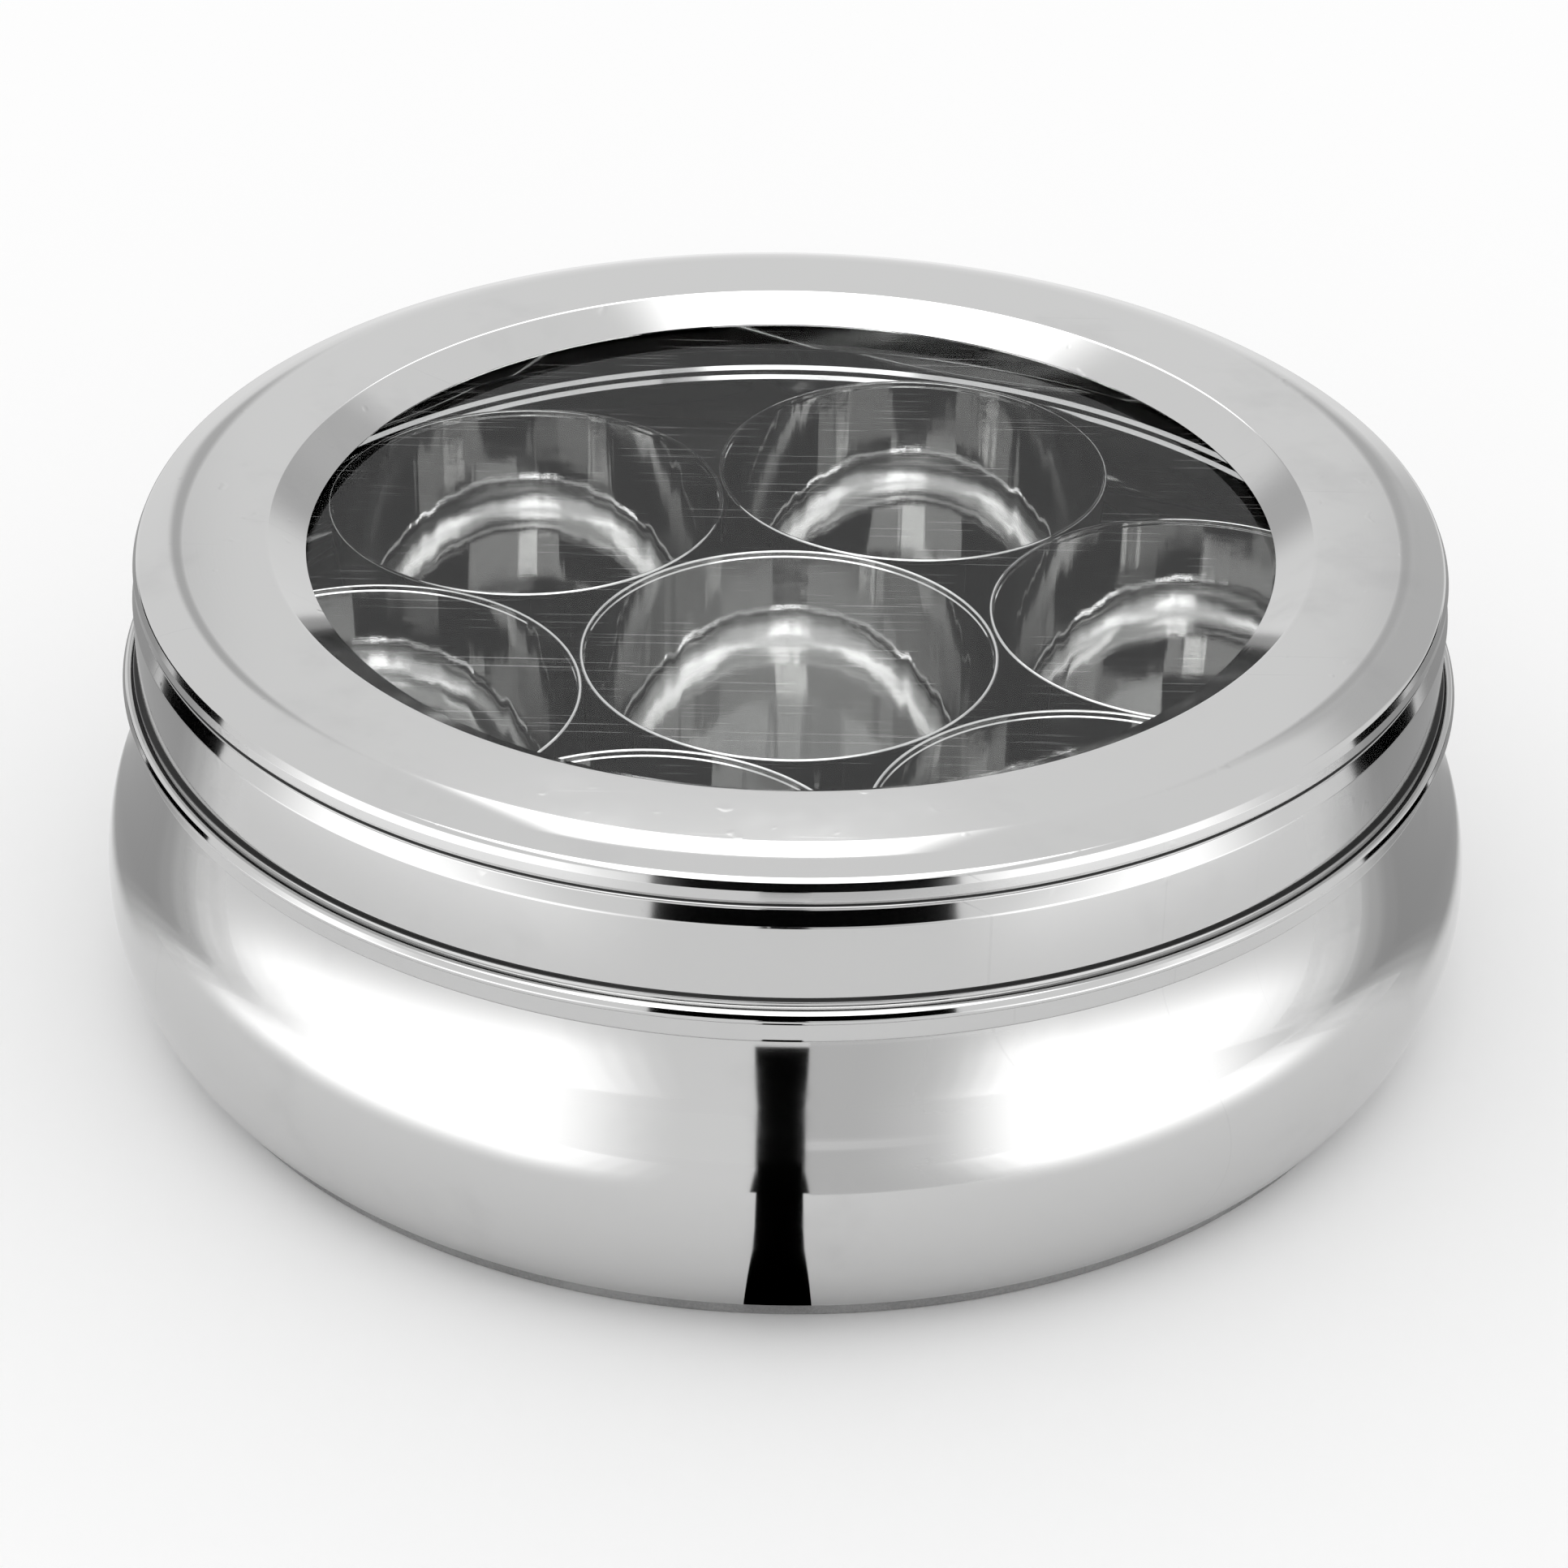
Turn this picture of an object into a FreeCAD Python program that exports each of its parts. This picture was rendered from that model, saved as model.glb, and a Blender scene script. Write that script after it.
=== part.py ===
import FreeCAD, Part
import math
import os

os.makedirs("parts", exist_ok=True)

# Round stainless spice box with a see-through lid, in millimetres.
# The origin is at the middle of the resting face, and +Z is up.
# An outline is a list of (radius, height) or (radius, height, bend) corners.

# Shortest edge worth drawing, and how near two points count as one
finest = 0.01
same_point = 1e-6

# Bends shared by the pressed pieces
fine_bend = 0.1
tight_bend = 0.2
soft_bend = 0.3
press_bend = 0.8

# Base pan
base_sheet = 0.6
foot_radius = 97.3
foot_height = 3.2
foot_bend = 0.8

# Belly
body_sheet = 0.5
widest_radius = 105.0
widest_height = 20.0
lower_bulge = 26.5
lower_tilt = math.radians(38.0)
upper_bulge = 34.0
upper_tilt = math.radians(22.4)
waist_sweep = 49.0
waist_radius = 98.65
waist_height = 47.8
waist_tilt = math.radians(5.7)
seam_radius = 96.3

# Neck, ledge, bead and collar
neck_radius = 97.4
neck_top = 66.0
ledge_height = 54.5
ledge_edge = 99.0
valley_radius = 99.1
valley_height = 52.9
bead_radius = 100.7
bead_top = 53.5
bead_height = 1.7
bead_round = 0.5
brim_radius = 100.2
brim_height = 52.6
brim_bend = 0.6
cleft_radius = 99.1
cleft_foot = 51.2
collar_radius = 99.5
collar_foot = 48.1
collar_round = 0.7

# Lid ring
lid_sheet = 0.5
lip_radius = 72.5
lip_height = 71.0
fold_radius = 78.2
fold_bend = 1.2
top_height = 74.4
brow_radius = 92.55
brow_bend = 11.7
brow_tilt = math.radians(20.0)
rim_radius = 98.0
rim_foot = 69.7
shoulder_radius = 97.4
shoulder_bend = 1.3
shoulder_foot = 71.2
notch_radius = 97.5
notch_height = 68.85
ridge_radius = 97.75
ridge_height = 68.55
crimp_radius = 97.3
crimp_height = 68.2
skirt_radius = 98.4
skirt_top = 65.9
hem_height = 1.2
hem_inset = 0.2

# Window
window_thickness = 1.3
window_radius = 97.2
window_gap = 0.1
seat_height = 69.2
seat_radius = 96.7

# Bowls
bowl_sheet = 0.5
bowl_height = 50.2
bowl_rim_radius = 32.1
bowl_wall_radius = 31.75
bowl_taper = 0.35
bowl_floor_bend = 8.5
bowl_slope = math.radians(58.0)
bowl_crease_height = 5.0
bowl_crease_bend = 3.9
bowl_step = 0.4
bowl_step_height = 6.2
bowl_rim_height = 1.0
bowl_rim_step = 0.2
bowl_gap = 0.3
outer_bowls = 6
first_bowl_turn = math.radians(12.0)


def direction(start, end):
    """Unit step from one corner towards the next."""
    across = end[0] - start[0]
    rise = end[1] - start[1]
    length = math.hypot(across, rise)
    return across / length, rise / length


def turning(before, after):
    """Left turn between two unit steps, as its sine and cosine."""
    sine = before[0] * after[1] - before[1] * after[0]
    cosine = before[0] * after[0] + before[1] * after[1]
    return sine, cosine


def bend_of(corner):
    """Bend radius of a corner, or zero for a sharp one."""
    return corner[2] if len(corner) > 2 else 0.0


def beside(corners, shift):
    """The outline moved to the left of its travel, or to the right if shift is negative."""
    steps = [direction(a, b) for a, b in zip(corners, corners[1:])]
    moved = []
    for before, corner, after in zip(steps[:1] + steps, corners, steps + steps[-1:]):
        sine, cosine = turning(before, after)
        reach = shift / (1.0 + cosine)
        radius = corner[0] - (before[1] + after[1]) * reach
        height = corner[1] + (before[0] + after[0]) * reach
        bend = bend_of(corner)
        if bend:
            bend = max(bend - math.copysign(1.0, sine) * shift, 0.0)
        moved.append((radius, height, bend))
    return moved


def crossing(first, first_tilt, second, second_tilt):
    """Where two slanting lines cross. A tilt is measured outward from straight down."""
    first_slope = math.tan(first_tilt)
    second_slope = math.tan(second_tilt)
    first_reach = first[0] + first_slope * first[1]
    second_reach = second[0] + second_slope * second[1]
    height = (second_reach - first_reach) / (second_slope - first_slope)
    return first_reach - first_slope * height, height


def section_point(radius, height):
    """A point of the half section that is turned about Z."""
    return FreeCAD.Vector(radius, 0.0, height)


def straight(start, end):
    """A line between two points, or nothing where they meet."""
    if start.isEqual(end, same_point):
        return []
    return [Part.makeLine(start, end)]


def outline_edges(corners):
    """Lines and tangent arcs along an outline."""
    edges = []
    here = section_point(*corners[0][:2])
    for before, corner, after in zip(corners, corners[1:], corners[2:]):
        radius, height = corner[:2]
        bend = bend_of(corner)
        way_in = direction(before, corner)
        way_out = direction(corner, after)
        sine, cosine = turning(way_in, way_out)
        half_turn = math.atan2(abs(sine), cosine) / 2.0
        run = bend * math.tan(half_turn)
        if run < finest:
            run = 0.0
        start = section_point(radius - way_in[0] * run, height - way_in[1] * run)
        end = section_point(radius + way_out[0] * run, height + way_out[1] * run)
        edges += straight(here, start)
        if run:
            inward = (way_out[0] - way_in[0], way_out[1] - way_in[1])
            step = bend * (1.0 / math.cos(half_turn) - 1.0) / math.hypot(*inward)
            middle = section_point(radius + inward[0] * step, height + inward[1] * step)
            edges.append(Part.Arc(start, middle, end).toShape())
        here = end
    return edges + straight(here, section_point(*corners[-1][:2]))


def turned(outside, inside):
    """Solid turned about Z from the section between two outlines that run the same way."""
    ends = straight(section_point(*outside[-1][:2]), section_point(*inside[-1][:2]))
    starts = straight(section_point(*inside[0][:2]), section_point(*outside[0][:2]))
    loop = outline_edges(outside) + ends + outline_edges(inside[::-1]) + starts
    section = Part.Face(Part.Wire(loop))
    return section.revolve(FreeCAD.Vector(0, 0, 0), FreeCAD.Vector(0, 0, 1), 360)


def belly_outline():
    """Outer face of the belly, from the waist down to the seam under it."""
    upper_start = (
        widest_radius - upper_bulge * (1.0 - math.cos(upper_tilt)),
        widest_height + upper_bulge * math.sin(upper_tilt),
    )
    sweep = crossing((waist_radius, waist_height), waist_tilt, upper_start, upper_tilt)
    lower_corner = widest_height - lower_bulge * math.tan(lower_tilt / 2.0)
    foot_edge = widest_radius - math.tan(lower_tilt) * (lower_corner - foot_height)
    return [
        (waist_radius, waist_height),
        (sweep[0], sweep[1], waist_sweep),
        (widest_radius, widest_height + upper_bulge * math.tan(upper_tilt / 2.0), upper_bulge),
        (widest_radius, lower_corner, lower_bulge),
        (foot_edge, foot_height, press_bend),
        (seam_radius, foot_height),
    ]


def body_shell():
    """Belly and neck pressed as one sheet, with a bead and a collar rolled round the ledge."""
    neck = [(neck_radius, neck_top), (neck_radius, ledge_height, soft_bend)]
    plain = neck + [(waist_radius, ledge_height, body_sheet)] + belly_outline()
    rolled = [
        (ledge_edge, ledge_height, tight_bend),
        (valley_radius, valley_height, fine_bend),
        (collar_radius, bead_top, soft_bend),
        (brim_radius, bead_top, brim_bend),
        (bead_radius, brim_height, bead_round),
        (bead_radius, bead_top - bead_height, bead_round),
        (cleft_radius, bead_top - bead_height, tight_bend),
        (collar_radius, cleft_foot, tight_bend),
        (collar_radius, collar_foot, collar_round),
        (waist_radius, collar_foot),
    ]
    return turned(neck + rolled + belly_outline(), beside(plain, -body_sheet))


def base_pan():
    """Shallow pan seamed under the belly. Its floor is the resting face."""
    outside = [(0.0, 0.0), (foot_radius, 0.0, foot_bend), (foot_radius, foot_height)]
    return turned(outside, beside(outside, base_sheet))


def lid_ring():
    """Pressed steel ring: dipped inner lip, flat top, sloping brow, shoulder, crimp and skirt."""
    slope = math.tan(brow_tilt)
    outside = [
        (lip_radius, lip_height),
        (fold_radius, top_height, fold_bend),
        (brow_radius, top_height, brow_bend),
        (shoulder_radius, top_height - (shoulder_radius - brow_radius) * slope, shoulder_bend),
        (rim_radius, shoulder_foot, tight_bend),
        (rim_radius, rim_foot, soft_bend),
        (notch_radius, notch_height, fine_bend),
        (ridge_radius, ridge_height, fine_bend),
        (crimp_radius, crimp_height, soft_bend),
        (skirt_radius, skirt_top, press_bend),
        (skirt_radius, ledge_height),
    ]
    top_inside = beside(outside[:4], -lid_sheet)[:3]
    wall_radius = window_radius + window_gap
    inner_skirt = skirt_radius - lid_sheet
    inside = top_inside + [
        (wall_radius, top_height - lid_sheet - (wall_radius - brow_radius) * slope),
        (wall_radius, seat_height),
        (seat_radius, seat_height),
        (seat_radius, crimp_height - lid_sheet, soft_bend),
        (inner_skirt, skirt_top, press_bend),
        (inner_skirt, ledge_height + hem_height),
        (inner_skirt - hem_inset, ledge_height + hem_height - hem_inset),
        (inner_skirt - hem_inset, ledge_height),
    ]
    return turned(outside, inside)


def lid_window():
    """Clear disc that snaps in above the crimp, under the ring's lip."""
    edge_round = window_thickness / 4.0
    middle = (window_radius, seat_height + window_thickness / 2.0)
    under = [(0.0, seat_height), (window_radius, seat_height, edge_round), middle]
    top = seat_height + window_thickness
    over = [(0.0, top), (window_radius, top, edge_round), middle]
    return turned(under, over)


def bowl():
    """Straight-sided bowl with a pressed step round its foot and a rolled rim, standing on Z = 0."""
    foot = bowl_wall_radius - bowl_taper
    crease = foot - bowl_step
    rim_foot = bowl_height - bowl_rim_height
    lip_foot = rim_foot + bowl_rim_step
    mouth = bowl_wall_radius - bowl_sheet + bowl_rim_step
    plain = [
        (0.0, 0.0),
        (crease - bowl_crease_height / math.tan(bowl_slope), 0.0, bowl_floor_bend),
        (crease, bowl_crease_height, bowl_crease_bend),
        (crease, bowl_step_height),
        (foot, bowl_step_height + bowl_step),
        (bowl_wall_radius, rim_foot),
    ]
    outside = plain + [
        (bowl_rim_radius, lip_foot, tight_bend),
        (bowl_rim_radius, bowl_height, soft_bend),
        (mouth, bowl_height, soft_bend),
        (mouth, lip_foot),
    ]
    return turned(outside, beside(plain, bowl_sheet))


def bowl_places():
    """Centre of each bowl: one in the middle and a ring of equal ones round it."""
    pitch = 2.0 * bowl_rim_radius + bowl_gap
    places = [(0.0, 0.0)]
    for index in range(outer_bowls):
        turn = first_bowl_turn + index * 2.0 * math.pi / outer_bowls
        places.append((pitch * math.cos(turn), pitch * math.sin(turn)))
    return places


def main():
    parts = {
        "body_shell": body_shell(),
        "base_pan": base_pan(),
        "lid_ring": lid_ring(),
        "lid_window": lid_window(),
    }
    for index, (across, away) in enumerate(bowl_places()):
        placed = bowl()
        placed.translate(FreeCAD.Vector(across, away, base_sheet))
        parts[f"bowl_{index}"] = placed
    for name, shape in parts.items():
        shape.exportStep(f"parts/{name}.step")
        print(name, shape.isValid(), len(shape.Faces), round(shape.Volume))


main()
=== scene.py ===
import math

import bpy
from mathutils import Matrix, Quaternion, Vector


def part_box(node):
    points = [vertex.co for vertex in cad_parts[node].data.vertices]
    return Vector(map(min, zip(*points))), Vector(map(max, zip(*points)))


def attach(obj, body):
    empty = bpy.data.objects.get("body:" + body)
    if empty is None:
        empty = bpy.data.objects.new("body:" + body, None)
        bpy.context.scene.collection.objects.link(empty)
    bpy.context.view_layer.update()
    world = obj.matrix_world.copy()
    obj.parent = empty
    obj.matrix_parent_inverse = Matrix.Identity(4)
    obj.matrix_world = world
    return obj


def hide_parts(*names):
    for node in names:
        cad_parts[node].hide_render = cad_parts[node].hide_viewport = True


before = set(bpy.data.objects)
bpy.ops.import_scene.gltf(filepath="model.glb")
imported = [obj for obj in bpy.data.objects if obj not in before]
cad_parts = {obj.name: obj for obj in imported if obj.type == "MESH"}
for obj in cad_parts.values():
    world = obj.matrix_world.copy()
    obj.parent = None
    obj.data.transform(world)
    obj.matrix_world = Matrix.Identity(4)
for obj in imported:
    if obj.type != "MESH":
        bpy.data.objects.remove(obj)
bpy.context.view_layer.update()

# Outlines are in millimetres: lists of (radius, height) or (radius, height, bend) corners.
# Pieces, lights and the camera are in metres.
millimetre = 0.001

# Every corner is eased by edge_bend at least, or by what ease_share of its shorter side allows
edge_bend = 0.05
ease_share = 0.49

# How closely an arc is followed, and the least turn that counts as a corner
arc_error = 0.002
widest_arc_step = math.radians(30.0)
least_turn = 1e-4

# Bends shared by the pressed pieces
fine_bend = 0.1
tight_bend = 0.2
soft_bend = 0.3
press_bend = 0.8

# Steps round the axis
box_steps = 360
bowl_steps = 180

# Base pan
base_sheet = 0.6
foot_radius = 97.3
foot_height = 3.2
foot_bend = 0.8

# Belly
body_sheet = 0.5
widest_radius = 105.0
widest_height = 20.0
lower_bulge = 26.5
lower_tilt = math.radians(38.0)
upper_bulge = 34.0
upper_tilt = math.radians(22.4)
waist_sweep = 49.0
waist_radius = 98.65
waist_height = 47.8
waist_tilt = math.radians(5.7)
seam_radius = 96.3

# Neck, ledge, bead and collar
neck_radius = 97.4
neck_top = 66.0
ledge_height = 54.5
ledge_edge = 99.0
valley_radius = 99.1
valley_height = 52.9
bead_radius = 100.7
bead_top = 53.5
bead_height = 1.7
bead_round = 0.5
brim_radius = 100.2
brim_height = 52.6
brim_bend = 0.6
cleft_radius = 99.1
cleft_foot = 51.2
collar_radius = 99.5
collar_foot = 48.1
collar_round = 0.7
inner_ridge = 0.45
ridge_tops = (51.0, 49.2)

# Lid ring
lid_sheet = 0.5
lip_radius = 72.5
lip_height = 71.0
fold_radius = 78.2
fold_bend = 1.2
top_height = 74.4
brow_radius = 92.55
brow_bend = 11.7
brow_tilt = math.radians(20.0)
rim_radius = 98.0
rim_foot = 69.7
shoulder_radius = 97.4
shoulder_bend = 1.3
shoulder_foot = 71.2
notch_radius = 97.5
notch_height = 68.85
ridge_radius = 97.75
ridge_height = 68.55
crimp_radius = 97.3
crimp_height = 68.2
skirt_radius = 98.4
skirt_top = 65.9
hem_height = 1.2
hem_inset = 0.2

# Window
window_thickness = 1.3
window_radius = 97.2
window_gap = 0.1
seat_height = 69.2
seat_radius = 96.7

# Bowls
bowl_sheet = 0.5
bowl_height = 50.2
bowl_rim_radius = 32.1
bowl_wall_radius = 31.75
bowl_taper = 0.35
bowl_floor_bend = 8.5
bowl_slope = math.radians(58.0)
bowl_crease_height = 5.0
bowl_crease_bend = 3.9
bowl_step = 0.4
bowl_step_height = 6.2
bowl_rim_height = 1.0
bowl_rim_step = 0.2

# Roughness of the polished pieces, and greys of each steel: bright and dull
body_roughness = 0.045
lid_roughness = 0.07
polished_greys = ((0.575, 0.575, 0.573), (0.50, 0.50, 0.50))
matte_greys = ((0.30, 0.30, 0.30), (0.22, 0.22, 0.22))
bowl_greys = ((0.66, 0.66, 0.655), (0.56, 0.56, 0.56))
# Dark grey mixed into the steel's colour as painted shade in its creases
crevice_shade_grey = (0.03, 0.03, 0.03, 1.0)

# Relief of the finishes, in metres
wobble_depth = 0.00004
dent_depth = 0.000012
polish_depth = 0.0000006
speckle_depth = 0.00003
flute_depth = 0.00014
drift_depth = 0.00002
spin_depth = 0.0000012

# In the bowls, in metres: where the flat floor gives way, and where the corner does
floor_ends = (0.021, 0.025)
corner_ends = (0.0045, 0.0056)

# Window: share of its gloss that shows, how white its scratches are, and what it lets through
pane_gloss = 0.05
hair_share = 0.2
pane_tint = (0.985, 0.988, 0.988, 1.0)

# Room light and cards. How soft a card is goes by its start, end, foot and top.
room_glow = 1.0
overhead_height = 0.4
back_glow = 3.6
front_glow = 3.0
side_glow = 2.0
side_reach = 0.6
side_height = 0.21
floor_gap = 0.001
shade_gap = 0.0012
shade_glow = 0.72
screen_steps = 24
sharp = (0.0, 0.0, 0.0, 0.0)

# Floor
floor_reach = 6.0
floor_tone = 0.98

# Camera
camera_distance = 0.601
camera_rise = math.radians(31.95)
camera_roll = math.radians(1.05)
camera_aim = Vector((-0.00041, -0.0338, 0.0478))
camera_lens = 94.34
camera_film = 36.0


def direction(start, end):
    """Unit step from one corner towards the next."""
    across = end[0] - start[0]
    rise = end[1] - start[1]
    length = math.hypot(across, rise)
    return across / length, rise / length


def turning(before, after):
    """Left turn between two unit steps, as its sine and cosine."""
    sine = before[0] * after[1] - before[1] * after[0]
    cosine = before[0] * after[0] + before[1] * after[1]
    return sine, cosine


def bend_of(corner):
    """Bend radius of a corner, or zero for a sharp one."""
    return corner[2] if len(corner) > 2 else 0.0


def beside(corners, shift):
    """The outline moved to the left of its travel, or to the right if shift is negative."""
    steps = [direction(a, b) for a, b in zip(corners, corners[1:])]
    moved = []
    for before, corner, after in zip(steps[:1] + steps, corners, steps + steps[-1:]):
        sine, cosine = turning(before, after)
        reach = shift / (1.0 + cosine)
        radius = corner[0] - (before[1] + after[1]) * reach
        height = corner[1] + (before[0] + after[0]) * reach
        bend = bend_of(corner)
        if bend:
            bend = max(bend - math.copysign(1.0, sine) * shift, 0.0)
        moved.append((radius, height, bend))
    return moved


def crossing(first, first_tilt, second, second_tilt):
    """Where two slanting lines cross. A tilt is measured outward from straight down."""
    first_slope = math.tan(first_tilt)
    second_slope = math.tan(second_tilt)
    first_reach = first[0] + first_slope * first[1]
    second_reach = second[0] + second_slope * second[1]
    height = (second_reach - first_reach) / (second_slope - first_slope)
    return first_reach - first_slope * height, height


def eased(before, corner, after):
    """Points round one eased corner, each with the travel's direction there."""
    way_in = direction(before, corner)
    way_out = direction(corner, after)
    sine, cosine = turning(way_in, way_out)
    turn = math.atan2(sine, cosine)
    if abs(turn) < least_turn:
        return [(corner[0], corner[1], way_in)]
    tangent = math.tan(abs(turn) / 2.0)
    shorter = min(math.dist(before[:2], corner[:2]), math.dist(corner[:2], after[:2]))
    bend = bend_of(corner)
    if bend <= edge_bend:
        bend = min(edge_bend, ease_share * shorter / tangent)
    side = math.copysign(bend, turn)
    start = (corner[0] - way_in[0] * bend * tangent, corner[1] - way_in[1] * bend * tangent)
    centre = (start[0] - way_in[1] * side, start[1] + way_in[0] * side)
    arc_step = min(2.0 * math.acos(1.0 - min(arc_error / bend, 0.5)), widest_arc_step)
    count = max(2, math.ceil(abs(turn) / arc_step))
    points = []
    for index in range(count + 1):
        angle = turn * index / count
        way = (
            way_in[0] * math.cos(angle) - way_in[1] * math.sin(angle),
            way_in[0] * math.sin(angle) + way_in[1] * math.cos(angle),
        )
        points.append((centre[0] + way[1] * side, centre[1] - way[0] * side, way))
    return points


def eased_outline(corners, closed):
    """Points along an outline, every corner of it eased."""
    if closed:
        points = []
        for index, corner in enumerate(corners):
            points += eased(corners[index - 1], corner, corners[(index + 1) % len(corners)])
        return points
    points = [(*corners[0][:2], direction(corners[0], corners[1]))]
    for before, corner, after in zip(corners, corners[1:], corners[2:]):
        points += eased(before, corner, after)
    return points + [(*corners[-1][:2], direction(corners[-2], corners[-1]))]


def ring_section(outside, inside):
    """Closed section of a ring between two outlines that run the same way."""
    return eased_outline(outside + inside[::-1], closed=True)


def disc_section(under, over):
    """Section of a piece that closes on the axis, from under it round to its top."""
    return eased_outline(under + over[::-1], closed=False)


def turned(name, section, steps, place=(0.0, 0.0, 0.0)):
    """Mesh turned about its own axis from a section that runs with the sheet on its left."""
    verts = []
    normals = []
    rings = []
    for radius, height, way in section:
        on_axis = radius < edge_bend
        ring = []
        for index in range(1 if on_axis else steps):
            angle = 2.0 * math.pi * index / steps
            reach = 0.0 if on_axis else radius * millimetre
            ring.append(len(verts))
            verts.append((reach * math.cos(angle), reach * math.sin(angle), height * millimetre))
            lean = 0.0 if on_axis else way[1]
            normals.append((lean * math.cos(angle), lean * math.sin(angle), -way[0]))
        rings.append(ring)
    if len(rings[0]) > 1:
        rings.append(rings[0])
    faces = []
    for lower, upper in zip(rings, rings[1:]):
        for index in range(steps):
            after = (index + 1) % steps
            if len(lower) == 1:
                faces.append((lower[0], upper[after], upper[index]))
            elif len(upper) == 1:
                faces.append((lower[index], lower[after], upper[0]))
            else:
                faces.append((lower[index], lower[after], upper[after], upper[index]))
    mesh = bpy.data.meshes.new(name)
    mesh.from_pydata(verts, [], faces)
    mesh.polygons.foreach_set("use_smooth", [True] * len(faces))
    mesh.normals_split_custom_set_from_vertices(normals)
    piece = bpy.data.objects.new(name, mesh)
    piece.location = place
    bpy.context.scene.collection.objects.link(piece)
    return piece


def belly_outline():
    """Outer face of the belly, from the waist down to the seam under it."""
    upper_start = (
        widest_radius - upper_bulge * (1.0 - math.cos(upper_tilt)),
        widest_height + upper_bulge * math.sin(upper_tilt),
    )
    sweep = crossing((waist_radius, waist_height), waist_tilt, upper_start, upper_tilt)
    lower_corner = widest_height - lower_bulge * math.tan(lower_tilt / 2.0)
    foot_edge = widest_radius - math.tan(lower_tilt) * (lower_corner - foot_height)
    return [
        (waist_radius, waist_height),
        (sweep[0], sweep[1], waist_sweep),
        (widest_radius, widest_height + upper_bulge * math.tan(upper_tilt / 2.0), upper_bulge),
        (widest_radius, lower_corner, lower_bulge),
        (foot_edge, foot_height, press_bend),
        (seam_radius, foot_height),
    ]


def body_section():
    """Belly and neck as one sheet: bead and collar round the ledge, two ridges inside the wall."""
    neck = [(neck_radius, neck_top), (neck_radius, ledge_height, soft_bend)]
    plain = neck + [(waist_radius, ledge_height, body_sheet)] + belly_outline()
    rolled = [
        (ledge_edge, ledge_height, tight_bend),
        (valley_radius, valley_height, fine_bend),
        (collar_radius, bead_top, soft_bend),
        (brim_radius, bead_top, brim_bend),
        (bead_radius, brim_height, bead_round),
        (bead_radius, bead_top - bead_height, bead_round),
        (cleft_radius, bead_top - bead_height, tight_bend),
        (collar_radius, cleft_foot, tight_bend),
        (collar_radius, collar_foot, collar_round),
        (waist_radius, collar_foot),
    ]
    inside = beside(plain, -body_sheet)
    wall = waist_radius - body_sheet
    ridges = []
    for top in ridge_tops:
        ridges += [(wall, top), (wall - inner_ridge, top - 2.0 * inner_ridge, tight_bend),
                   (wall, top - 2.5 * inner_ridge)]
    inside = inside[:3] + ridges + inside[3:]
    return ring_section((neck + rolled + belly_outline())[::-1], inside[::-1])


def pan_section():
    """Shallow pan seamed under the belly."""
    outside = [(0.0, 0.0), (foot_radius, 0.0, foot_bend), (foot_radius, foot_height)]
    return disc_section(outside, beside(outside, base_sheet))


def lid_section():
    """Pressed steel ring: dipped inner lip, flat top, sloping brow, shoulder, crimp and skirt."""
    slope = math.tan(brow_tilt)
    outside = [
        (lip_radius, lip_height),
        (fold_radius, top_height, fold_bend),
        (brow_radius, top_height, brow_bend),
        (shoulder_radius, top_height - (shoulder_radius - brow_radius) * slope, shoulder_bend),
        (rim_radius, shoulder_foot, tight_bend),
        (rim_radius, rim_foot, soft_bend),
        (notch_radius, notch_height, fine_bend),
        (ridge_radius, ridge_height, fine_bend),
        (crimp_radius, crimp_height, soft_bend),
        (skirt_radius, skirt_top, press_bend),
        (skirt_radius, ledge_height),
    ]
    top_inside = beside(outside[:4], -lid_sheet)[:3]
    wall_radius = window_radius + window_gap
    inner_skirt = skirt_radius - lid_sheet
    inside = top_inside + [
        (wall_radius, top_height - lid_sheet - (wall_radius - brow_radius) * slope),
        (wall_radius, seat_height),
        (seat_radius, seat_height),
        (seat_radius, crimp_height - lid_sheet, soft_bend),
        (inner_skirt, skirt_top, press_bend),
        (inner_skirt, ledge_height + hem_height),
        (inner_skirt - hem_inset, ledge_height + hem_height - hem_inset),
        (inner_skirt - hem_inset, ledge_height),
    ]
    return ring_section(outside[::-1], inside[::-1])


def window_section():
    """Clear disc that snaps in above the crimp, under the ring's lip."""
    edge_round = window_thickness / 4.0
    middle = (window_radius, seat_height + window_thickness / 2.0)
    under = [(0.0, seat_height), (window_radius, seat_height, edge_round), middle]
    top = seat_height + window_thickness
    over = [(0.0, top), (window_radius, top, edge_round)]
    return disc_section(under, over)


def bowl_section():
    """Straight-sided bowl with a pressed step round its foot and a rolled rim, on its own zero."""
    foot = bowl_wall_radius - bowl_taper
    crease = foot - bowl_step
    rim_foot = bowl_height - bowl_rim_height
    lip_foot = rim_foot + bowl_rim_step
    mouth = bowl_wall_radius - bowl_sheet + bowl_rim_step
    plain = [
        (0.0, 0.0),
        (crease - bowl_crease_height / math.tan(bowl_slope), 0.0, bowl_floor_bend),
        (crease, bowl_crease_height, bowl_crease_bend),
        (crease, bowl_step_height),
        (foot, bowl_step_height + bowl_step),
        (bowl_wall_radius, rim_foot),
    ]
    outside = plain + [
        (bowl_rim_radius, lip_foot, tight_bend),
        (bowl_rim_radius, bowl_height, soft_bend),
        (mouth, bowl_height, soft_bend),
        (mouth, lip_foot),
    ]
    return disc_section(outside, beside(plain, bowl_sheet))


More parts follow.
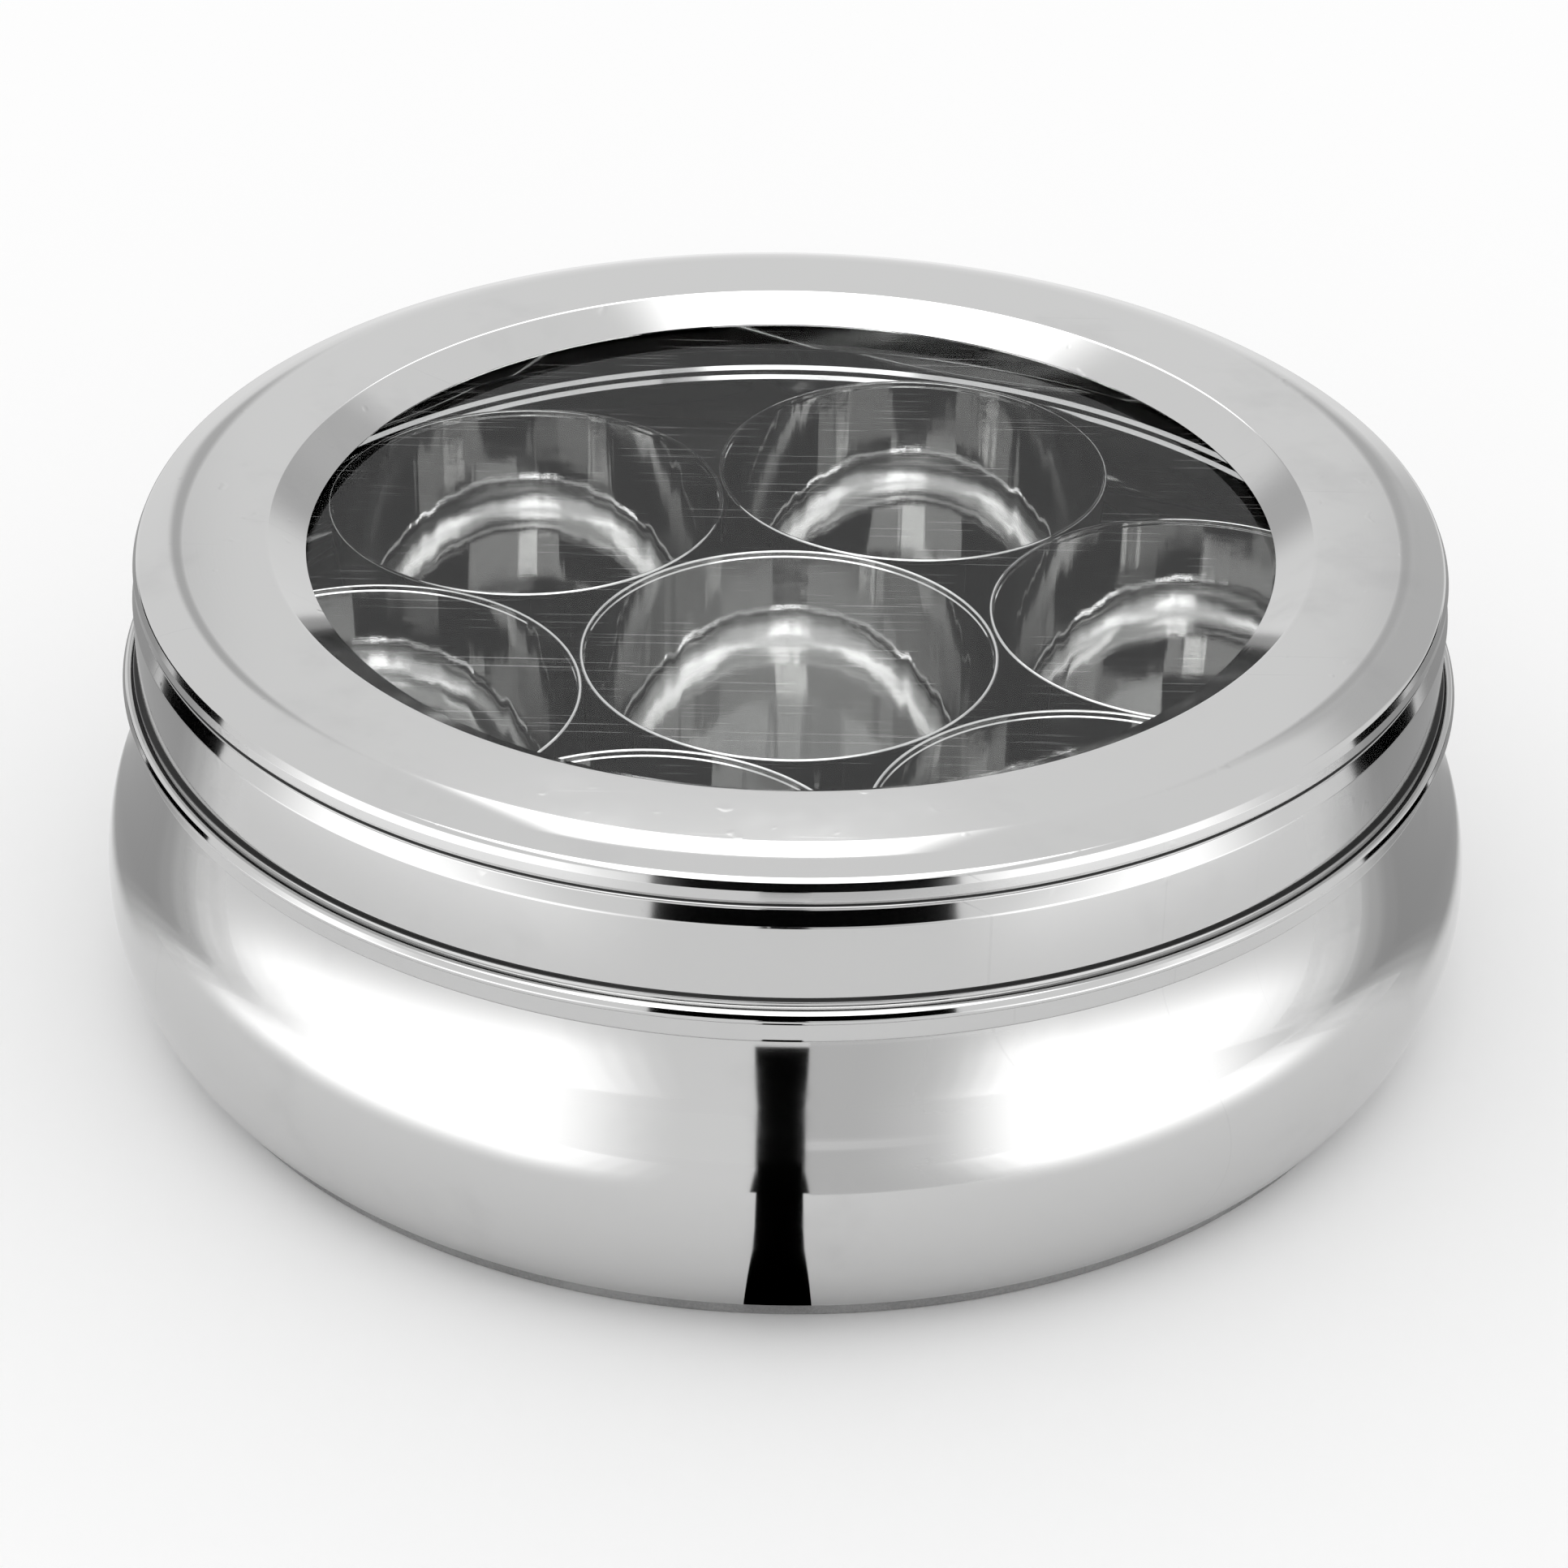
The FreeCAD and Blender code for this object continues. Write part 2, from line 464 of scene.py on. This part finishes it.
class Shade:
    """A number or vector carried by one socket. Sums on it add Math nodes."""

    def __init__(self, finish, socket):
        self.finish = finish
        self.socket = socket

    def __getitem__(self, name):
        return Shade(self.finish, self.socket.node.outputs[name])

    def sum(self, operation, first, second):
        return self.finish.node("Math", {"operation": operation}, {0: first, 1: second})

    def __add__(self, other):
        return self.sum("ADD", self, other)

    def __radd__(self, other):
        return self.sum("ADD", other, self)

    def __sub__(self, other):
        return self.sum("SUBTRACT", self, other)

    def __rsub__(self, other):
        return self.sum("SUBTRACT", other, self)

    def __mul__(self, other):
        return self.sum("MULTIPLY", self, other)

    def __rmul__(self, other):
        return self.sum("MULTIPLY", other, self)

    def __truediv__(self, other):
        return self.sum("DIVIDE", self, other)

    def __pow__(self, other):
        return self.sum("POWER", self, other)


class Finish:
    """A material built from nodes."""

    def __init__(self, name):
        self.material = bpy.data.materials.new(name)
        self.material.use_nodes = True
        self.tree = self.material.node_tree
        self.tree.nodes.clear()

    def node(self, kind, settings=None, sockets=None):
        """Add a node: its settings first, then the values or links of its sockets."""
        made = self.tree.nodes.new("ShaderNode" + kind)
        for name, value in (settings or {}).items():
            setattr(made, name, value)
        for name, value in (sockets or {}).items():
            if isinstance(value, Shade):
                self.tree.links.new(value.socket, made.inputs[name])
            else:
                made.inputs[name].default_value = value
        return Shade(self, made.outputs[0]) if made.outputs else None

    def place(self):
        """Where a point is on its own piece."""
        return self.node("TexCoord")["Object"]

    def noise(self, where, scale, detail=2.0, roughness=0.5):
        """Cloudy noise, from 0 to 1."""
        sockets = {"Vector": where, "Scale": scale, "Detail": detail, "Roughness": roughness}
        return self.node("TexNoise", {"normalize": True}, sockets)

    def step(self, value, low, high):
        """Nought below low, one above high, and a smooth rise between them."""
        sockets = {"Value": value, "From Min": low, "From Max": high}
        return self.node("MapRange", {"interpolation_type": "SMOOTHSTEP"}, sockets)

    def parts(self, where):
        """X, Y and Z of a place."""
        return self.node("SeparateXYZ", sockets={"Vector": where})

    def from_axis(self, point):
        """How far a point is from the axis of its piece."""
        return (point["X"] * point["X"] + point["Y"] * point["Y"]) ** 0.5

    def turned_place(self, round_scale, across_scale):
        """Coordinates for lines that run round the axis and slowly fade in and out."""
        point = self.parts(self.place())
        radius = self.from_axis(point) + 0.01 * millimetre
        sockets = {
            "X": point["X"] / radius * round_scale,
            "Y": point["Y"] / radius * round_scale,
            "Z": (radius + point["Z"]) * across_scale,
        }
        return self.node("CombineXYZ", sockets=sockets)

    def crevice_shade(self, rings):
        """Painted shade in the angles of a pressing. A ring is a radius, a height and a reach."""
        point = self.parts(self.place())
        radius = self.from_axis(point)
        unshaded = 1.0
        for ring_radius, height, reach in rings:
            across = radius - ring_radius * millimetre
            up = point["Z"] - height * millimetre
            away = (across * across + up * up) ** 0.5
            edge = reach * millimetre
            unshaded = self.step(away, 0.5 * edge, edge) * unshaded
        return 1.0 - unshaded

    def scratches(self, turns, length, spacing, amount):
        """Fine straight scratches, one family for each turn. A higher amount leaves fewer."""
        marks = 0.0
        for index, turn in enumerate(turns):
            settings = {"vector_type": "POINT"}
            sockets = {
                "Vector": self.place(),
                "Location": (index * 1.7, index * 3.1, 0.0),
                "Rotation": (0.0, 0.0, turn),
                "Scale": (1.0 / length, 1.0 / spacing, 1.0),
            }
            lane = self.node("Mapping", settings, sockets)
            line = self.noise(lane, 1.0, 1.0, 0.4)
            marks = self.step(line, amount, amount + 0.04) + marks
        return marks

    def bump(self, height, depth, below=None):
        """Surface relief. Depth is how far one unit of height stands up, in metres."""
        sockets = {"Height": height, "Distance": depth, "Strength": 1.0}
        if below:
            sockets["Normal"] = below
        return self.node("Bump", sockets=sockets)

    def done(self, surface):
        """Give the material its surface."""
        self.node("OutputMaterial", sockets={"Surface": surface})
        return self.material


def steel(finish, greys, haze, roughness, relief, painted_shade=None, metal=1.0):
    """Bare steel, its colour between two greys by its haze, and darkened by painted shade in its
    creases.
    """
    bright, dull = greys
    colours = {0: haze, 6: (*bright, 1.0), 7: (*dull, 1.0)}
    colour = finish.node("Mix", {"data_type": "RGBA"}, colours)[2]
    # Painted shade: the colour is mixed towards a dark grey in the creases
    if painted_shade:
        colours = {0: painted_shade, 6: colour, 7: crevice_shade_grey}
        colour = finish.node("Mix", {"data_type": "RGBA"}, colours)[2]
    sockets = {"Base Color": colour, "Metallic": metal, "Roughness": roughness, "Normal": relief}
    return finish.done(finish.node("BsdfPrincipled", sockets=sockets))


def polished_steel(name, shine, rings, dents=0.0):
    """Buffed sheet steel: polish lines, faint smudges, fine scratches, knocks as deep as dents."""
    finish = Finish(name)
    smudge = finish.step(finish.noise(finish.place(), 45.0, 4.0, 0.6), 0.52, 0.78)
    lines = finish.noise(finish.turned_place(3.0, 2600.0), 1.0, 3.0, 0.6)
    marks = finish.scratches((0.4, 1.3, 2.2, 2.9), 0.05, 0.0006, 0.76)
    wobble = finish.noise(finish.place(), 28.0, 1.0, 0.4)
    relief = finish.bump(wobble, wobble_depth)
    if dents:
        knocks = finish.step(finish.noise(finish.place(), 330.0, 1.0, 0.3), 0.70, 0.86)
        relief = finish.bump(knocks, dents, relief)
    relief = finish.bump(lines + marks * 0.5, polish_depth, relief)
    haze = smudge * 0.6 + marks * 0.3
    # Painted shade: darker and rougher in the creases that rings give
    painted_shade = finish.crevice_shade(rings)
    roughness = shine + smudge * 0.05 + lines * 0.02 + marks * 0.05 + painted_shade * 0.3
    return steel(finish, polished_greys, haze, roughness, relief, painted_shade)


def matte_steel():
    """Unpolished base pan: fine speckle and a dull, even skin, with painted shade along the seam
    under the belly's step.
    """
    finish = Finish("matte_steel")
    speckle = finish.noise(finish.place(), 2200.0, 2.0, 0.7)
    patches = finish.noise(finish.place(), 90.0, 3.0, 0.5)
    relief = finish.bump(speckle, speckle_depth)
    haze = finish.step(patches * 0.5 + speckle * 0.5, 0.35, 0.65)
    roughness = 0.4 + patches * 0.12
    # Painted shade along the top of the foot, where the belly steps in above it
    painted_shade = finish.crevice_shade([(foot_radius, foot_height, 0.5)])
    return steel(finish, matte_greys, haze, roughness, relief, painted_shade, metal=0.2)


def bowl_steel():
    """Spun bowl steel: close rings from the tool, faint flutes up the wall and a satin corner."""
    finish = Finish("bowl_steel")
    point = finish.parts(finish.place())
    outer = finish.step(finish.from_axis(point), *floor_ends)
    corner = outer * (1.0 - finish.step(point["Z"], *corner_ends))
    wall = outer - corner
    rings = finish.noise(finish.turned_place(2.0, 3400.0), 1.0, 3.0, 0.7)
    drift = finish.noise(finish.turned_place(1.5, 160.0), 1.0, 2.0, 0.5)
    flutes = finish.noise(finish.turned_place(7.0, 14.0), 1.0, 1.0, 0.4)
    grain = finish.noise(finish.place(), 1500.0, 2.0, 0.6)
    smudge = finish.step(finish.noise(finish.place(), 60.0, 3.0, 0.6), 0.5, 0.8)
    relief = finish.bump(flutes * wall, flute_depth)
    relief = finish.bump(drift * outer, drift_depth, relief)
    relief = finish.bump(rings * outer + grain * 1.5, spin_depth, relief)
    haze = smudge * 0.5 + drift * 0.3
    roughness = 0.025 + rings * 0.015 + smudge * 0.02 + corner * 0.2
    return steel(finish, bowl_greys, haze, roughness, relief)


def clear_acrylic():
    """See-through pane with a faint gloss and hair scratches."""
    finish = Finish("clear_acrylic")
    marks = finish.scratches((0.2, 0.9, 1.5, 2.4, 2.8), 0.03, 0.0004, 0.74)
    gloss = finish.node("Fresnel", sockets={"IOR": 1.49}) * pane_gloss
    sockets = {"Color": (1.0, 1.0, 1.0, 1.0), "Roughness": 0.03}
    shine = finish.node("BsdfGlossy", sockets=sockets)
    clear = finish.node("BsdfTransparent", sockets={"Color": pane_tint})
    pane = finish.node("MixShader", sockets={0: gloss, 1: clear, 2: shine})
    hair = finish.node("BsdfDiffuse", sockets={"Color": (0.9, 0.9, 0.9, 1.0)})
    scratched = {0: marks * hair_share, 1: pane, 2: hair}
    return finish.done(finish.node("MixShader", sockets=scratched))


def dress(piece, material, body, node):
    """Give a piece its finish and its body, and hide the part that it stands for."""
    piece.data.materials.append(material)
    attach(piece, body)
    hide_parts(node)


def make_box():
    """The body, its foot, the lid ring and its window. Rings of painted crevice shade are in
    millimetres.
    """
    # Painted shade under the skirt's hem, in the valley and under the bead
    body_shade_rings = [
        (skirt_radius + 0.25, ledge_height, 0.45),
        (valley_radius + 0.1, valley_height, 0.5),
        (cleft_radius + 0.1, bead_top - bead_height, 0.45),
    ]
    # Painted shade in the notch under the lid's shoulder
    lid_shade_rings = [(notch_radius, notch_height, 0.3)]
    body_finish = polished_steel("polished_body", body_roughness, body_shade_rings)
    lid_finish = polished_steel("polished_lid", lid_roughness, lid_shade_rings, dent_depth)
    dress(turned("belly_and_neck", body_section(), box_steps), body_finish,
          "body", "body_shell")
    dress(turned("foot_pan", pan_section(), box_steps), matte_steel(),
          "body", "base_pan")
    dress(turned("lid_pressing", lid_section(), box_steps), lid_finish,
          "lid", "lid_ring")
    dress(turned("lid_pane", window_section(), box_steps), clear_acrylic(),
          "lid", "lid_window")


def make_bowls():
    """Seven equal bowls, each where its solid stands."""
    finish = bowl_steel()
    section = bowl_section()
    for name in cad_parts:
        if name.startswith("bowl_"):
            low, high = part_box(name)
            place = ((low.x + high.x) / 2.0, (low.y + high.y) / 2.0, low.z)
            piece = turned("spun_" + name, section, bowl_steps, place)
            dress(piece, finish, name + "_body", name)


def card_finish(name, glow, soft):
    """Light or shade of a card, faded by soft at its start, end, foot and top."""
    finish = Finish(name)
    point = finish.parts(finish.node("TexCoord")["UV"])
    cover = 1.0
    edges = (point["X"], 1.0 - point["X"], point["Y"], 1.0 - point["Y"])
    for edge, width in zip(edges, soft):
        if width:
            cover = finish.step(edge, 0.0, width) * cover
    lit = finish.node("Emission", sockets={"Color": (1.0, 1.0, 1.0, 1.0), "Strength": glow})
    if cover == 1.0:
        return finish.done(lit)
    clear = finish.node("BsdfTransparent")
    return finish.done(finish.node("MixShader", sockets={0: cover, 1: clear, 2: lit}))


def reflected_only(card):
    """Keep a card out of sight except in polished steel."""
    card.visible_camera = False
    card.visible_diffuse = False
    card.visible_shadow = False
    card.visible_transmission = False


def card(name, rows, glow, soft=sharp):
    """A card from rows of points, foot to top."""
    count = len(rows[0])
    verts = [point for row in rows for point in row]
    faces = []
    for level in range(len(rows) - 1):
        for index in range(count - 1):
            corner = level * count + index
            faces.append((corner, corner + 1, corner + count + 1, corner + count))
    mesh = bpy.data.meshes.new(name)
    mesh.from_pydata(verts, [], faces)
    layer = mesh.uv_layers.new(name="UVMap")
    for loop in mesh.loops:
        across = (loop.vertex_index % count) / (count - 1)
        up = (loop.vertex_index // count) / (len(rows) - 1)
        layer.data[loop.index].uv = (across, up)
    made = bpy.data.objects.new(name, mesh)
    bpy.context.scene.collection.objects.link(made)
    mesh.materials.append(card_finish(name, glow, soft))
    reflected_only(made)


def overhead_card(name, across, along, glow, soft):
    """A level card over the box, between two places across and two along."""
    rows = [[(side, place, overhead_height) for side in across] for place in along]
    card(name, rows, glow, soft)


def screen(name, turns, foot, top, glow, soft=sharp):
    """A curved card round the box, from foot to top, each a radius and a height.

    Turns are degrees to the right of the front.
    """
    rows = []
    for radius, height in (foot, top):
        row = []
        for index in range(screen_steps + 1):
            turn = math.radians(turns[0] + (turns[1] - turns[0]) * index / screen_steps)
            row.append((radius * math.sin(turn), -radius * math.cos(turn), height))
        rows.append(row)
    card(name, rows, glow, soft)


def strip(name, rows):
    """A narrow black card in front of the box, from rows of reach, height and half width."""
    sides = [[(-half, -reach, height), (half, -reach, height)] for reach, height, half in rows]
    card(name, sides, 0.0)


def make_room():
    """Even white light from all round."""
    world = bpy.data.worlds.new("room")
    world.use_nodes = True
    light = world.node_tree.nodes["Background"]
    light.inputs["Color"].default_value = (1.0, 1.0, 1.0, 1.0)
    light.inputs["Strength"].default_value = room_glow
    bpy.context.scene.world = world


def make_soft_boxes():
    """Bright cards overhead, at both sides and just above the floor."""
    overhead_card("soft_box_back", (-0.12, 0.07), (0.05, 0.40), back_glow,
                  (0.3, 0.3, 0.05, 0.05))
    overhead_card("soft_box_front", (-0.28, 0.22), (-0.60, -0.02), front_glow,
                  (0.15, 0.15, 0.0, 0.05))
    foot, top = (side_reach, 0.0), (side_reach, side_height)
    screen("soft_box_left", (-88.0, -13.0), foot, top, side_glow, (0.3, 0.35, 0.0, 0.25))
    screen("soft_box_right", (20.0, 80.0), foot, top, side_glow, (0.3, 0.4, 0.0, 0.25))
    near, far = (0.165, floor_gap), (side_reach, floor_gap)
    screen("floor_glow_left", (-90.0, -13.0), near, far, side_glow, (0.3, 0.25, 0.2, 0.0))
    screen("floor_glow_right", (18.0, 84.0), near, far, side_glow, (0.25, 0.4, 0.2, 0.0))


def make_dark_cards():
    """Black and grey cards: the lid's bands, the belly's dark ends, and its shaded right."""
    screen("dark_front", (-20.0, 26.0), (1.0, 0.2), (1.0, 0.58), 0.0)
    foot, top = (0.5, 0.0), (0.5, 0.08)
    screen("dark_left", (-130.0, -94.0), foot, top, 0.0, (0.2, 0.0, 0.0, 0.0))
    screen("dark_right", (94.0, 130.0), foot, top, 0.0, (0.0, 0.2, 0.0, 0.0))
    near, far = (0.12, floor_gap), (0.5, floor_gap)
    screen("grey_floor_left", (-170.0, -80.0), near, far, 0.42, (0.1, 0.2, 0.05, 0.3))
    screen("grey_floor_right", (74.0, 170.0), near, far, 0.40, (0.2, 0.1, 0.05, 0.3))
    foot, top, soft = (0.8, 0.2), (0.8, 0.75), (0.4, 0.4, 0.2, 0.2)
    screen("shade_band_left", (-166.0, -152.0), foot, top, 0.62, soft)
    screen("shade_band_right", (152.0, 166.0), foot, top, 0.62, soft)
    screen("shade_back_right", (112.0, 168.0), (0.9, 0.1), (0.9, 0.95), 0.68,
           (0.2, 0.3, 0.2, 0.2))
    beside_stripe = (3.3, 30.0)
    screen("shade_floor_right", beside_stripe, (0.2, shade_gap), (0.8, shade_gap), shade_glow,
           (0.0, 0.8, 0.0, 0.0))
    screen("shade_right", beside_stripe, (0.8, 0.0), (0.8, 0.15), shade_glow,
           (0.0, 0.8, 0.0, 0.3))


def make_stripe():
    """Two black strips that the front of the belly mirrors as one dark stripe."""
    strip("stripe_near", [(0.0976, 0.0004, 0.0048), (0.12, 0.001, 0.00475),
                          (0.12, 0.012, 0.0043), (0.12, 0.0315, 0.004)])
    strip("stripe_far", [(0.203, 0.002, 0.0116), (0.7, 0.002, 0.041), (0.7, 0.15, 0.042)])


def make_floor():
    """Plain pale floor."""
    finish = Finish("pale_floor")
    grain = finish.noise(finish.place(), 3.0, 2.0, 0.5)
    sockets = {"Base Color": grain * 0.01 + floor_tone, "Roughness": 1.0,
               "Specular IOR Level": 0.0}
    material = finish.done(finish.node("BsdfPrincipled", sockets=sockets))
    mesh = bpy.data.meshes.new("floor")
    corners = [(side * floor_reach, end * floor_reach, 0.0)
               for side, end in ((-1.0, -1.0), (1.0, -1.0), (1.0, 1.0), (-1.0, 1.0))]
    mesh.from_pydata(corners, [], [(0, 1, 2, 3)])
    mesh.materials.append(material)
    floor = bpy.data.objects.new("floor", mesh)
    bpy.context.scene.collection.objects.link(floor)


def make_camera():
    """Camera above the front, turned a little about its own line of sight."""
    forward = Vector((0.0, math.cos(camera_rise), -math.sin(camera_rise)))
    data = bpy.data.cameras.new("camera")
    data.lens = camera_lens
    data.sensor_width = camera_film
    camera = bpy.data.objects.new("camera", data)
    camera.location = camera_aim - forward * camera_distance
    camera.rotation_mode = "QUATERNION"
    level = forward.to_track_quat("-Z", "Y")
    camera.rotation_quaternion = level @ Quaternion((0.0, 0.0, 1.0), camera_roll)
    bpy.context.scene.collection.objects.link(camera)
    bpy.context.scene.camera = camera


make_camera()
make_floor()
make_room()
make_soft_boxes()
make_dark_cards()
make_stripe()
make_box()
make_bowls()
bpy.context.scene.view_settings.view_transform = "Standard"

bpy.context.view_layer.update()
